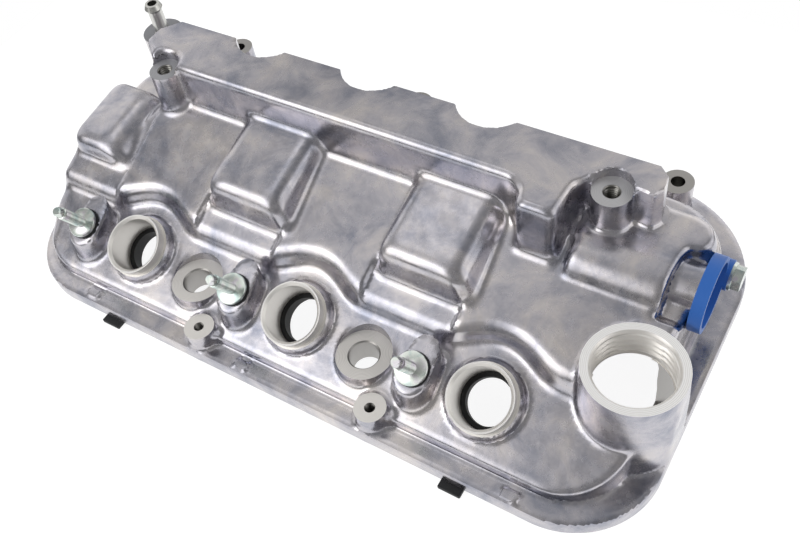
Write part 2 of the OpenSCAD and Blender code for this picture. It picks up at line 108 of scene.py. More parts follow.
def ramp(tree, source, stops):
    node = tree.nodes.new("ShaderNodeValToRGB")
    tree.links.new(source, node.inputs["Fac"])
    elements = node.color_ramp.elements
    for i, (place, colour) in enumerate(stops):
        element = elements[i] if i < 2 else elements.new(place)
        element.position = place
        element.color = colour
    return node.outputs["Color"]


# Noise whose features are about size metres, in object coordinates.
def noise(tree, size, detail, roughness, distortion=0.0):
    coords = addNode(tree, "ShaderNodeTexCoord")
    texture = addNode(tree, "ShaderNodeTexNoise", Scale=1 / size, Detail=detail,
                      Roughness=roughness, Distortion=distortion)
    tree.links.new(coords.outputs["Object"], texture.inputs["Vector"])
    return texture.outputs["Fac"]


def addBump(tree, shader, height, distance, strength):
    bump = addNode(tree, "ShaderNodeBump", Strength=strength, Distance=distance)
    tree.links.new(height, bump.inputs["Height"])
    tree.links.new(bump.outputs["Normal"], shader.inputs["Normal"])


def grey(v):
    return (v, v, v, 1.0)


# Burnished die casting: cloudy stains about 22 mm wide, fine grain, soft waviness.
def castAluminium():
    material, tree, shader = newMaterial("cast_aluminium", "#c9cbd0", 1.0, 0.24)
    cloud = noise(tree, 0.022, 5, 0.62, distortion=0.4)
    colour = ramp(tree, cloud, [(0.30, srgb("#9295a2")), (0.5, srgb("#bdbbc1")),
                                (0.72, srgb("#dad4d1"))])
    tree.links.new(colour, shader.inputs["Base Color"])
    blotch = noise(tree, 0.009, 4, 0.6)
    rough = ramp(tree, blotch, [(0.3, grey(0.17)), (0.7, grey(0.34))])
    tree.links.new(rough, shader.inputs["Roughness"])
    wave = noise(tree, 0.012, 3, 0.5)
    grain = noise(tree, 0.0006, 2, 0.5)
    mix = addNode(tree, "ShaderNodeMath", operation="MULTIPLY_ADD")
    tree.links.new(grain, mix.inputs[0])
    mix.inputs[1].default_value = 0.05
    tree.links.new(wave, mix.inputs[2])
    addBump(tree, shader, mix.outputs[0], 0.0004, 0.35)
    return material


# Face milled and turned aluminium: pale, matt, with fine marks.
def machinedAluminium():
    material, tree, shader = newMaterial("machined_aluminium", "#ece9e4", 0.65, 0.36)
    mark = noise(tree, 0.0007, 2, 0.6)
    addBump(tree, shader, mark, 0.00006, 0.4)
    return material


# Turned aluminium: concentric marks round a centre given in mm. The ring texture repeats
# every 2 pi / (20 scale) metres, so a scale of 449 sets them 0.7 mm apart.
def turnedFace(name, centre, tilt, dark, pale):
    material, tree, shader = newMaterial(name, pale, 0.3, 0.42)
    coords = addNode(tree, "ShaderNodeTexCoord")
    move = addNode(tree, "ShaderNodeVectorMath", operation="SUBTRACT")
    tree.links.new(coords.outputs["Object"], move.inputs[0])
    move.inputs[1].default_value = tuple(toFrame(centre))
    turn = addNode(tree, "ShaderNodeMapping", Rotation=(-tilt, 0, 0))
    tree.links.new(move.outputs[0], turn.inputs["Vector"])
    wave = addNode(tree, "ShaderNodeTexWave", wave_type="RINGS", rings_direction="Z",
                   Scale=449.0, Distortion=0.6, Detail=2.0)
    tree.links.new(turn.outputs["Vector"], wave.inputs["Vector"])
    tone = ramp(tree, wave.outputs["Fac"], [(0.2, srgb(dark)), (0.8, srgb(pale))])
    tree.links.new(tone, shader.inputs["Base Color"])
    addBump(tree, shader, wave.outputs["Fac"], 0.00004, 0.5)
    return material


def zincSteel():
    material, tree, shader = newMaterial("zinc_plated_steel", "#ccd6d2", 1.0, 0.2)
    tint = noise(tree, 0.006, 2, 0.5)
    colour = ramp(tree, tint, [(0.35, srgb("#b9c9c6")), (0.55, srgb("#d8ded8")),
                               (0.7, srgb("#d9d3dd"))])
    tree.links.new(colour, shader.inputs["Base Color"])
    return material


def plain(name, colour, metallic, roughness, grainSize=0.0, grainDepth=0.0):
    material, tree, shader = newMaterial(name, colour, metallic, roughness)
    if grainSize:
        addBump(tree, shader, noise(tree, grainSize, 3, 0.6), grainDepth, 0.5)
    return material


mats = {
    "cast": castAluminium(),
    "machined": machinedAluminium(),
    "zinc": zincSteel(),
    "bored": plain("bored_aluminium", "#aaa8a5", 1.0, 0.36, 0.0012, 0.00004),
    # The tapped holes' darker grey is painted shade inside the holes.
    "tapped": plain("tapped_thread_painted_shade", "#8f8e8a", 1.0, 0.34, 0.0005, 0.00003),
    "rough": plain("rough_cast_aluminium", "#9a9b9f", 0.8, 0.6, 0.0008, 0.00022),
    "rubber": plain("black_rubber", "#17181a", 0.0, 0.62, 0.0008, 0.0001),
    "blue": plain("blue_nylon", "#2f66b5", 0.0, 0.42, 0.0009, 0.00003),
    "sheet": plain("rolled_aluminium_sheet", "#b9bbbe", 1.0, 0.34, 0.0012, 0.00005),
    "turned": plain("turned_aluminium", "#cfcfcb", 1.0, 0.28, 0.0006, 0.00005),
}
print("stage: finishes")

# Every form below is a signed distance in mm: under 0 inside, over 0 outside.


# Union with a fillet about k wide: min(a, b) - h^2 k / 4, h = max(k - |a - b|, 0) / k.
def smin(a, b, k):
    h = np.maximum(k - np.abs(a - b), 0) / k
    return np.minimum(a, b) - h * h * k * 0.25


def smax(a, b, k):
    return -smin(-a, -b, k)


def step(edge0, edge1, v):
    t = np.clip((v - edge0) / (edge1 - edge0), 0, 1)
    return t * t * (3 - 2 * t)


# Rectangle with a radius of its own at each corner.
def rounded(x, y, x0, y0, x1, y1, fl, fr, br, bl):
    cx, cy, hx, hy = (x0 + x1) / 2, (y0 + y1) / 2, (x1 - x0) / 2, (y1 - y0) / 2
    px, py = x - cx, y - cy
    r = np.where(px > 0, np.where(py > 0, br, fr), np.where(py > 0, bl, fl))
    qx, qy = np.abs(px) - hx + r, np.abs(py) - hy + r
    return np.minimum(np.maximum(qx, qy), 0) + np.hypot(np.maximum(qx, 0), np.maximum(qy, 0)) - r


# Distance to a closed outline: nearest edge, signed by crossings.
def polygon(x, y, corners):
    x, y = np.broadcast_arrays(x, y)
    best = np.full(x.shape, 1e9)
    sign = np.ones(x.shape)
    for (ax, ay), (bx, by) in zip(corners, corners[1:] + corners[:1]):
        ex, ey, wx, wy = bx - ax, by - ay, x - ax, y - ay
        t = np.clip((wx * ex + wy * ey) / (ex * ex + ey * ey), 0, 1)
        best = np.minimum(best, (wx - ex * t) ** 2 + (wy - ey * t) ** 2)
        a, b, c = y >= ay, y < by, ex * wy > ey * wx
        sign = np.where((a & b & c) | (~a & ~b & ~c), -sign, sign)
    return sign * np.sqrt(best)


# The same outline with its corners rounded, as a mean over a ring of offsets.
def softPolygon(x, y, corners, blur):
    total = 0
    for i in range(8):
        a = i * math.pi / 4
        total = total + polygon(x + blur * math.cos(a), y + blur * math.sin(a), corners)
    return total / 8


# Radius and height in the axis of a plug tube or stud that starts at place.
def tilted(x, y, z, place):
    dx, dy, dz = x - place[0], y - place[1], z - place[2]
    up = -SIN * dy + COS * dz
    side = COS * dy + SIN * dz
    return np.sqrt(dx * dx + side * side), up


# The casting's main places, in mm. RIM, STUD, VALVE and EAR are y and z.
PLUGS = [-98.0, 0.0, 98.0]
RIM = (27.5, 12 + 17.5 * math.tan(SLOPE) + 10.3 / COS + 0.1)
STUDS = [-129.6, -31.6, 66.4]
STUD = (25.8, 34.4)
# Bosses are cast up to one height and faced off at another
RING = {"x": (-59.9, 38.1), "y": 28.5, "cast": 24, "face": 22, "radius": 13.1, "hole": 7}
EDGE = {"x": (-45.4, 52.6), "y": 8.7, "cast": 18.8, "face": 17, "radius": 7.4, "hole": 2.5}
REAR = {"x": (-148.8, -22.0, 126.0), "y": 181.2, "cast": 26.2, "face": 24.6, "radius": 8,
        "hole": 3.5}
WALL = 3.6
LEFT, RIGHT, BACK = -165.8, 161.5, 172.0
FLANGE = (-174, 0, 174, 193, 44, 41, 57, 30)
FLANGE_TOP = 7.3
BOXES = (-47.0, 51.0)
BOSS_L, BOSS_R = (-118.6, 101.6, 79.0), (116.9, 114.2, 80.0)
TOP_BOSSES = ((BOSS_L, 8.0), (BOSS_R, 8.6))
NIPPLE = (-153.6, 136.0, 68.5)
FILLER = (152.3, 56.6, 52.0)
VALVE = (105.0, 48.5)
EAR = (124.0, 40.5)
DRUM = {"y": 98, "z": 50, "radius": 14}
CHAMBER = [(-104, 101), (76, 101), (82.5, 97), (85, 88.5), (102.5, 88.5), (103.2, 108),
           (107, 116.5), (116.5, 120.3), (126, 116.5), (134, 115.5), (136.5, 120), (136, 126.5),
           (131, 131), (-128.5, 131), (-136.5, 121.5), (-136.5, 111), (-128, 104)]
CHAMBER_TOP, CHAMBER_BACK = 85, 131.0
NOTCH = {"x": (-77.0, -13.0, 50.0), "y": 140.5, "radius": 18}
TERRACE = [(106, 99), (150, 99), (153, 112), (158, 112.5), (161, 117), (161, 122),
           (157.5, 128.5), (150, 131.5), (106, 131.5)]
TERRACE_TOP = 64
# Pitch and depth of each thread
THREADS = {"edge": (1.0, 0.42), "top": (1.25, 0.5), "filler": (3.6, 1.2), "stud": (1.0, 0.34)}


def coilDeck(y):
    return 12 + (y - 10) * math.tan(SLOPE)


# Main plane, lower aprons in front of the boxes, and a lower left end.
def upperDeck(x, y):
    z = 37.6 + (y - 45.4) * 0.4
    for x0 in (-73.0, 25.0):
        apron = np.minimum(35.4 + (y - 48) * math.tan(SLOPE), z)
        z = (z + (apron - z) * step(0, 2.6, x - x0) * step(0, 2.6, x0 + 49.5 - x) *
             step(0, 6, 68 - y))
    return z - 2.8 * step(0, 2.5, -124 - x) - 7 * step(148.5, 151.5, x) * step(80, 88, y)


# Front line of the upper deck: y = 45.4, with a bay of radius 24.5 behind each tube.
# The wall leans back 0.45 mm for each mm of height over the coil deck.
def bays(x, y, lift):
    line = y - 0.45 * lift
    d = 45.4 - line
    for px in PLUGS:
        d = smax(d, 24.5 - np.hypot(x - px + 0.6, line - 29.4), 9)
    return d * 0.9


# Everything cast round the hollow, shrunk by the wall for the hollow itself.
def body(x, y, z, wall):
    draft = (z - 20) * 0.02
    low = rounded(x, y, LEFT - 2, 10, RIGHT, BACK, 32, 30, 36, 24) + draft + wall
    deck = (z - coilDeck(y)) * COS + wall
    edge = 2.2 + 8 * step(4, 18, -142 - x) * step(14, 30, y)
    d = smax(smax(low, deck, edge), y - 60, 0.1)
    d = smin(d, smax(smax(low, z - 24 + wall, 3), 50 - y, 1), 4)

    side = rounded(x, y, LEFT, 20, RIGHT, 131.5, 2, 2, 14, 14) + draft + wall
    lift = np.clip(z - coilDeck(y), -2, 12)
    top = smax(side, (z - upperDeck(x, y)) * 0.928 + wall, 3.2)
    top = smax(top, bays(x, y, lift) + wall, 3.4)
    cap = (z - 44 + wall) * 0.97 - 1.2 * np.clip(x + 138, 0, 99)
    top = smax(top, np.maximum(z - 60.5 + wall, cap), 3)
    d = smin(d, top, 2.0)

    for cx in BOXES:
        u = x - cx
        zt = 59 + 0.236 * (y - 62.5)
        drop = np.clip(zt - z, -3, 25)
        flank = smax((u - 20.6 - 0.42 * drop) * 0.93, (-u - 20.6 - 0.12 * drop), 6)
        front = 60.5 - y - 0.08 * drop
        box = smax(smax(flank, front, 7), (z - zt) * 0.973, 6.5) + wall
        d = smin(d, smax(box, y - 112, 1), 3)

    zt = 52.3 + 0.13 * (y - 62)
    drop = np.clip(zt - z, -3, 22)
    flank = smax((x + 136 - 0.85 * drop) * 0.8, LEFT - x + 0.02 * z, 6)
    box = smax(smax(flank, 61.5 - y - 0.1 * drop, 8), y - 104, 7)
    box = smax(box, (z - zt) * 0.99, 6.5) + wall
    d = smin(d, box, 3)

    # Rounded in front; behind, 0.6 mm too far out, for the trimming cutters to make it crisp
    rear = step(108, 116, y)
    plan = softPolygon(x, y, CHAMBER, 2.2) * (1 - rear) + polygon(x, y, CHAMBER) * rear
    for nx in NOTCH["x"]:
        plan = smax(plan, NOTCH["radius"] - np.hypot(x - nx, y - NOTCH["y"]), 1.2)
    plan = plan - 0.6 * rear * step(56, 58, z)
    for (bx, by, _), br in TOP_BOSSES:
        plan = smax(plan, br - np.hypot(x - bx, y - by), 1.5)
    d = smin(d, smax(plan, z - CHAMBER_TOP, 4.2 - 3.8 * rear) + wall, 4)
    shelf = softPolygon(x, y, TERRACE, 1.6) + draft
    d = smin(d, smax(shelf, z - TERRACE_TOP, 3) + wall, 3.5)
    return d


def castOutside(x, y, z):
    flange = smax(rounded(x, y, *FLANGE), z - FLANGE_TOP, 1.4)
    d = smin(flange, body(x, y, z, 0), 1.6)
    for cx, cy in ((-116.6, 4.7), (-19, 4.3), (122.9, 4.0)):
        pad = smax(smax(np.abs(x - cx) - 4, np.abs(y - cy) - 2.4, 1), z - (FLANGE_TOP + 1), 0.6)
        d = smin(d, pad, 0.5)

    # Valve drum, its neck and the bed of the ear's bolt
    drum = np.hypot(y - DRUM["y"], z - DRUM["z"]) - DRUM["radius"]
    drum = smax(smax(drum, x - 150.5, 2.6), 108 - x, 4)
    neck = smax(np.hypot(y - VALVE[0], z - VALVE[1]) - 11.4, x - RIGHT - 1.6, 0.4)
    neck = smax(neck, 140 - x, 1)
    ear = smax(np.hypot(y - EAR[0], z - EAR[1]) - 7.6, x - RIGHT - 1.6, 0.4)
    ear = smax(ear, 140 - x, 1)
    d = smin(smin(smin(d, drum, 2), neck, 1.2), ear, 2)

    for (cx, cy, top), r in TOP_BOSSES + ((NIPPLE, 11.0),):
        boss = smax(np.hypot(x - cx, y - cy) - r + (z - top) * 0.02, z - top - 1.5, 0.8)
        d = smin(d, smax(boss, 10 - z, 1), 3.4)

    for cx in STUDS:
        # Footprint from a circle of 8.6 at the front to one of 7 at the back
        px, py = x - cx, y - 24.6
        t = np.clip((px * 1.5 + py * 10.4) / (1.5 ** 2 + 10.4 ** 2), 0, 1)
        foot = np.hypot(px - 1.5 * t, py - 10.4 * t) - (8.6 - 1.6 * t)
        up = tilted(x, y, z, (cx,) + STUD)[1]
        d = smin(d, smax(smax(foot + (z - 30) * 0.03, up + 1.4, 1.2), 4 - z, 1), 3)

    for cx in PLUGS:
        r, up = tilted(x, y, z, (cx,) + RIM)
        collar = smax(r - 15.6, up - 1.6, 0.3)
        shoulder = smax(r - 17.5, up + 5.8, 2.6)
        d = smin(d, smax(smin(collar, shoulder, 1.6), -up - 16, 1), 2.2)

    for cx in RING["x"]:
        post = np.hypot(x - cx, y - RING["y"]) - RING["radius"]
        d = smin(d, smax(post, z - RING["cast"], 0.2), 2.4)
    for cx in EDGE["x"]:
        post = np.hypot(x - cx, y - EDGE["y"]) - EDGE["radius"]
        back = smax(np.abs(x - cx - 1.5) - 8.2, np.maximum(y - 22, 8 - y), 2)
        post = smin(smax(post, z - EDGE["cast"], 0.2), smax(back, z - 15.2, 3), 2.5)
        d = smin(d, post, 2.2)
    for cx in REAR["x"]:
        post = np.hypot(x - cx, y - REAR["y"]) - REAR["radius"]
        d = smin(d, smax(post, z - REAR["cast"], 0.4), 2.4)

    # Filler neck: a cone from 24 mm radius at the flange to 21.5 at its face
    r = np.hypot(x - FILLER[0], y - FILLER[1])
    neck = smax(r - 21.5 - (FILLER[2] - z) * 0.045, z - FILLER[2] - 1.6, 0.2)
    flank = np.abs(y - 56) - 9 + np.clip(z - 30, 0, 30) * 0.3
    rib = smax(np.maximum(x - 173.2, 150 - x), flank, 2)
    rib = smax(rib, z - 47, 3)
    edge = rounded(x, y, *FLANGE) + 0.15
    return smin(d, smax(smin(neck, rib, 3), edge, 1.0), 1.8)


# Space under the cover, less the bosses and tubes that stand in it.
def hollow(x, y, z):
    d = body(x, y, z, WALL)
    r = np.hypot(y - DRUM["y"], z - DRUM["z"]) - DRUM["radius"]
    stays = [np.maximum(r, np.maximum(118 - x, x - 146)),
             np.maximum(np.hypot(y - VALVE[0], z - VALVE[1]) - 13.5, 130 - x),
             np.maximum(np.hypot(y - EAR[0], z - EAR[1]) - 8, 143 - x),
             np.maximum(np.hypot(x - FILLER[0], y - FILLER[1]) - 22.3, 36 - z)]
    for (cx, cy, _), r, low in ((BOSS_L, 8.3, 55), (BOSS_R, 9.2, 58), (NIPPLE, 11.0, 30)):
        stays.append(np.maximum(np.hypot(x - cx, y - cy) - r, low - z))
    for cx in PLUGS:
        r, up = tilted(x, y, z, (cx,) + RIM)
        stays.append(np.maximum(r - 17.8, -25.3 - up))
    for cx in STUDS:
        stays.append(np.maximum(np.hypot(x - cx - 0.7, (y - 30) * 0.7) - 8.6, 8 - z))
    for cx in RING["x"]:
        stays.append(np.maximum(np.hypot(x - cx, y - RING["y"]) - (RING["radius"] + 2), 9 - z))
    for cx in EDGE["x"]:
        stays.append(np.maximum(np.hypot(x - cx, y - EDGE["y"]) - EDGE["radius"], 1 - z))
    for cx in (-100, -40, 22, 70):
        stays.append(np.maximum(np.hypot(x - cx, y - 109) - 4, 58.5 - z))
    for stay in stays:
        d = smax(d, -stay, 1.2)
    return d


# Surface nets: one point in each cell that the surface crosses, at the mean of its
# edge crossings, joined by a quad over each crossed edge, then moved onto the surface.
def surface(field, low, high, pitch):
    axes = [np.arange(a, b + pitch, pitch, dtype=np.float32) for a, b in zip(low, high)]
    x, y, z = np.meshgrid(*axes, indexing="ij", sparse=True)
    value = np.array(np.broadcast_to(field(x, y, z), [len(a) for a in axes]), np.float32)
    # A cell face with its two insides on a diagonal would join two sheets on one edge: fill it
    for u, v in ((0, 1), (0, 2), (1, 2)) * 3:
        part = [value[tuple(slice(1, None) if (n == u and i) or (n == v and j) else
                            slice(0, -1) if n in (u, v) else slice(None) for n in range(3))]
                for i in (0, 1) for j in (0, 1)]
        a, b, c, d = [p < 0 for p in part]
        crossed = (a & d & ~b & ~c) | (b & c & ~a & ~d)
        for p in part:
            p[crossed] = np.minimum(p[crossed], -0.02)
    inside = value < 0
    cells = tuple(n - 1 for n in value.shape)
    count = np.zeros(cells, np.int8)
    corners = [(i, j, k) for i in (0, 1) for j in (0, 1) for k in (0, 1)]
    for i, j, k in corners:
        count += inside[i:i + cells[0], j:j + cells[1], k:k + cells[2]]
    ix, iy, iz = np.nonzero((count > 0) & (count < 8))
    index = np.full(cells, -1, np.int32)
    index[ix, iy, iz] = np.arange(len(ix))
    total, hits = np.zeros((len(ix), 3)), np.zeros(len(ix))
    for a in corners:
        for axis in range(3):
            if a[axis]:
                continue
            b = tuple(v + (n == axis) for n, v in enumerate(a))
            va = value[ix + a[0], iy + a[1], iz + a[2]]
            vb = value[ix + b[0], iy + b[1], iz + b[2]]
            crossed = (va < 0) != (vb < 0)
            t = np.where(crossed, va / np.where(crossed, va - vb, 1), 0)
            point = np.array(a, float) + t[:, None] * np.eye(3)[axis]
            total += point * crossed[:, None]
            hits += crossed
    points = (np.stack([ix, iy, iz], 1) + total / hits[:, None]) * pitch + np.array(low)
    quads = []
    for axis in range(3):
        a = [slice(None)] * 3
        b = [slice(None)] * 3
        a[axis], b[axis] = slice(0, -1), slice(1, None)
        first, second = inside[tuple(a)], inside[tuple(b)]
        e = np.stack(np.nonzero(first != second), 1)
        u, v = [n for n in range(3) if n != axis]
        e = e[(e[:, u] > 0) & (e[:, v] > 0) & (e[:, u] < cells[u]) & (e[:, v] < cells[v])]
        ring = []
        for du, dv in ((1, 1), (0, 1), (0, 0), (1, 0)):
            c = e.copy()
            c[:, u] -= du
            c[:, v] -= dv
            ring.append(index[c[:, 0], c[:, 1], c[:, 2]])
        quad = np.stack(ring, 1)
        flip = first[e[:, 0], e[:, 1], e[:, 2]] != (axis == 1)
        quad[~flip] = quad[~flip][:, ::-1]
        quads.append(quad)
    quads = np.concatenate(quads)
    e = 0.15
    for _ in range(2):
        p = points.T
        d = field(*p)
        g = np.stack([field(p[0] + e, p[1], p[2]) - field(p[0] - e, p[1], p[2]),
                      field(p[0], p[1] + e, p[2]) - field(p[0], p[1] - e, p[2]),
                      field(p[0], p[1], p[2] + e) - field(p[0], p[1], p[2] - e)], 1) / (2 * e)
        move = -d[:, None] * g / np.maximum((g * g).sum(1), 0.2)[:, None]
        points += np.clip(move, -0.45 * pitch, 0.45 * pitch)
    return points, quads


def meshObject(name, points, faces, material):
    mesh = bpy.data.meshes.new(name)
    points, faces = np.asarray(points, np.float32), np.asarray(faces, np.int32)
    mesh.vertices.add(len(points))
    mesh.vertices.foreach_set("co", points.ravel())
    mesh.loops.add(faces.size)
    mesh.loops.foreach_set("vertex_index", faces.ravel())
    mesh.polygons.add(len(faces))
    mesh.polygons.foreach_set("loop_start", np.arange(0, faces.size, faces.shape[1]))
    mesh.update(calc_edges=True)
    mesh.validate()
    mesh.materials.append(material)
    thing = bpy.data.objects.new(name, mesh)
    bpy.context.scene.collection.objects.link(thing)
    return thing


# Faces that join equal rings of points in turn, with a flat face on each end.
def ringed(loops, closed=True):
    count, n = len(loops), len(loops[0])
    points = np.concatenate([np.asarray(loop, float) for loop in loops])
    a = np.arange(n)
    b = (a + 1) % n
    quads = np.concatenate([np.stack([a, b, b + n, a + n], 1) + i * n for i in range(count - 1)])
    faces = [tuple(q) for q in quads]
    if closed:
        faces += [tuple(a[::-1]), tuple(a + (count - 1) * n)]
    return points, faces


def solid(name, points, faces, material):
    mesh = bpy.data.meshes.new(name)
    mesh.from_pydata([tuple(p) for p in points], [], faces)
    tidy = bmesh.new()
    tidy.from_mesh(mesh)
    bmesh.ops.recalc_face_normals(tidy, faces=tidy.faces)
    tidy.to_mesh(mesh)
    tidy.free()
    mesh.materials.append(material)
    thing = bpy.data.objects.new(name, mesh)
    bpy.context.scene.collection.objects.link(thing)
    return thing


# Solid of revolution. profile is (radius, height) pairs; axis is z, x or tilt.
# radius, where given, is a function of angle, height and the profile's radius.
def lathe(name, profile, place, axis, material, steps, radius):
    angle = np.arange(steps) * 2 * math.pi / steps
    loops = []
    for r, h in profile:
        rr = radius(angle, h, r) if radius else np.full(steps, r)
        u, v = rr * np.cos(angle), rr * np.sin(angle)
        if axis == "x":
            loops.append(np.stack([np.full(steps, h), u, v], 1))
        elif axis == "tilt":
            loops.append(np.stack([u, v * COS - h * SIN, v * SIN + h * COS], 1))
        else:
            loops.append(np.stack([u, v, np.full(steps, h)], 1))
    points, faces = ringed([loop + np.array(place) for loop in loops])
    return solid(name, points, faces, material)


# Radius of a right-hand thread: a triangle wave of height / pitch - angle / 2 pi, with
# sign 1 outwards into the wall of a hole and -1 inwards into a shaft.
def screwThread(pitch, depth, low, high, sign):
    def radius(angle, h, r):
        wave = np.abs(((h / pitch - angle / (2 * math.pi)) % 1) - 0.5) * 2
        shape = np.clip((wave - 0.14) / 0.72, 0, 1)
        live = step(low, low + pitch * 0.6, h) * (1 - step(high - pitch * 0.6, high, h))
        return r + sign * depth * shape * live
    return radius


# The flange's outline, drawn inset mm inside its edge.
def rails(inset):
    steps = 20
    x0, y0, x1, y1, fl, fr, br, bl = FLANGE
    out = []
    for cx, cy, r, start in ((x0 + fl, y0 + fl, fl, 180), (x1 - fr, y0 + fr, fr, 270),
                             (x1 - br, y1 - br, br, 0), (x0 + bl, y1 - bl, bl, 90)):
        a = np.radians(start + np.arange(steps + 1) * 90 / steps)
        out.append(np.stack([cx + (r - inset) * np.cos(a), cy + (r - inset) * np.sin(a)], 1))
    return np.concatenate(out)


def atHeight(outline, height):
    return np.column_stack([outline, np.full(len(outline), height)])


# Cutters take the machined faces, bores and threads off the casting
cast, machined, bored, tapped = mats["cast"], mats["machined"], mats["bored"], mats["tapped"]
# Each face has its own pair of tones. The rings between them are turning marks, but the lighter
# pairs on the tubes and filler and the darker pairs on the top bosses are painted light and shade
# on one turned finish.
turned = [turnedFace("turned_face_%d" % i, *look) for i, look in enumerate(
    [((x, RING["y"], 0), 0, "#cdc9c4", "#eae7e2") for x in RING["x"]] +
    [(BOSS_L, 0, "#8f9094", "#adadaf"), (BOSS_R, 0, "#a5a5a8", "#c4c3c2")] +
    [((x,) + RIM, SLOPE, "#dddad6", "#f8f7f4") for x in PLUGS] +
    [(FILLER, 0, "#e9e7e3", "#fdfcfa")])]
cutters = []


def cut(name, profile, place, axis="z", material=machined, steps=72, radius=None):
    cutters.append(lathe(name, profile, place, axis, material, steps, radius))


# Closed band with a four-sided section: each loop joins the next, the last the first.
def loopCut(name, loops, material):
    n = len(loops[0])
    a = np.arange(n)
    b = (a + 1) % n
    faces = [tuple(q) for i in range(4) for q in
             np.stack([a + i * n, b + i * n, b + (i + 1) % 4 * n, a + (i + 1) % 4 * n], 1)]
    cutters.append(solid(name, np.concatenate(loops), faces, material))


# Ring round the tilted axis: inner and outer radius, low and high end.
def ringCut(name, size, place):
    inner, outer, low, high = size
    angle = np.arange(96) * 2 * math.pi / 96
    loops = []
    for r, h in ((inner, low), (outer, low), (outer, high), (inner, high)):
        u, v = r * np.cos(angle), r * np.sin(angle)
        loops.append(np.stack([u, v * COS - h * SIN, v * SIN + h * COS], 1) + np.array(place))
    loopCut(name, loops, machined)


def prism(name, outline, low, high):
    points, faces = ringed([atHeight(outline, h) for h in (low, high)])
    cutters.append(solid(name, points, faces, cast))


# Grid pitch of the casting and of the hollow
PITCH = 1.45
HOLLOW_PITCH = 3.1
points, quads = surface(lambda x, y, z: np.maximum(castOutside(x, y, z), -2.9 - z),
                        (-176.3, -2.2, -5), (177, 195.5, 88), PITCH)
# No point stands past the flange's right edge, where the CAD box ends
points[:, 0] = np.minimum(points[:, 0], FLANGE[2])
cover = meshObject("cover_casting", points, quads, cast)
print("stage: casting", len(quads), "quads")
points, quads = surface(lambda x, y, z: np.maximum(hollow(x, y, z), -6.5 - z),
                        (-167, 8, -9), (163, 176, 86), HOLLOW_PITCH)
cutters.append(meshObject("hollow", points, quads, cast))
print("stage: hollow", len(quads), "quads")

cut("underside", [(420, -30), (420, 0)], (0, 97, 0), steps=8)
loopCut("groove", [atHeight(rails(inset), h) for inset, h in
                   ((3.9, -6), (3.9, 3), (8.1, 3), (8.1, -6))], machined)

# What lies behind the chamber's back edge goes, so that the edge is crisp
edge = [(-128.5, CHAMBER_BACK)]
r = NOTCH["radius"]
half = math.degrees(math.acos((NOTCH["y"] - CHAMBER_BACK) / r))
for nx in NOTCH["x"]:
    for k in range(17):
        a = math.radians(270 - half + 2 * half * k / 16)
        edge.append((nx + r * math.cos(a), NOTCH["y"] + r * math.sin(a)))
prism("chamberBack", edge + [(131.0, CHAMBER_BACK), (131.0, 160.0), (-128.5, 160.0)], 59, 95)
prism("chamberRight", [(131.0, CHAMBER_BACK), (136.0, 126.5), (136.5, 120.0), (160.0, 116.0),
                       (160.0, 160.0), (131.0, 160.0)], 64.4, 95)
prism("chamberLeft", [(-128.5, CHAMBER_BACK), (-128.5, 160.0), (-175.0, 160.0), (-175.0, 100.0),
                      (-137.3, 106.0), (-136.5, 111.0), (-136.5, 121.5)], 69, 95)

for i, x in enumerate(PLUGS):
    spot = (x,) + RIM
    cut("tubeFace%d" % i, [(17, 0), (17, 12)], spot, "tilt", turned[i + 4])
    ringCut("tubeSide%d" % i, (15.05, 17.6, -5.4, 1), spot)
    bore = [(14.52, -60), (14.52, -16.3), (13.2, -16.2), (13.2, -1.2), (14.5, 0.1), (14.5, 1)]
    cut("tubeBore%d" % i, bore, spot, "tilt", steps=96)
for i, x in enumerate(RING["x"]):
    spot, top, r = (x, RING["y"], 0), RING["face"], RING["hole"]
    hole = [(r, -5), (r, top - 0.6), (r + 0.7, top + 0.1), (r + 0.7, top + 1)]
    cut("ringFace%d" % i, [(13.4, top), (13.4, top + 30)], spot, material=turned[i], steps=96)
    cut("ringHole%d" % i, hole, spot, material=bored)
for i, x in enumerate(EDGE["x"]):
    spot, top, r = (x, EDGE["y"], 0), EDGE["face"], EDGE["hole"]
    turns = [(r, 5 + 0.2 * k) for k in range(61)] + [(r, top + 1)]
    cut("edgeFace%d" % i, [(8.2, top), (8.2, 40)], spot)
    cut("edgeHole%d" % i, turns, spot, material=tapped, steps=30,
        radius=screwThread(*THREADS["edge"], 5.5, top - 0.1, 1))
for i, x in enumerate(REAR["x"]):
    spot, r = (x, REAR["y"], 0), REAR["hole"]
    cut("rearFace%d" % i, [(8.7, REAR["face"]), (8.7, 40)], spot, material=bored)
    cut("rearHole%d" % i, [(r, -5), (r, 30)], spot, material=tapped)
for name, (x, y, z), r, look in (("topLeft", BOSS_L, 8.2, 2), ("topRight", BOSS_R, 8.8, 3)):
    cut(name + "Face", [(r, z), (r, z + 20)], (x, y, 0), material=turned[look])
    turns = [(3.4, z - 16 + 0.25 * k) for k in range(63)] + [(3.9, z - 0.1), (4.1, z + 1)]
    cut(name + "Hole", turns, (x, y, 0), material=tapped, steps=30,
        radius=screwThread(*THREADS["top"], z - 15, z - 0.6, 1))
x, y, z = NIPPLE
cut("nippleFace", [(11.6, z - 0.3), (11.6, z + 14)], (x, y, 0), material=mats["rough"])

# Filler: four turns of thread over a plain bore
x, y, z = FILLER
turns = [(17, 36 + 0.4 * k) for k in range(38)] + [(17.1, z - 1), (18.1, z + 0.1), (18.1, z + 1)]
cut("fillerFace", [(24, z), (24, z + 12)], (x, y, 0), material=turned[7], steps=128)
cut("fillerThread", turns, (x, y, 0), steps=104,
    radius=screwThread(*THREADS["filler"], 36.3, z - 1.6, 1))
cut("fillerLow", [(16.5, FLANGE_TOP), (16.5, 37)], (x, y, 0), material=bored, steps=96)

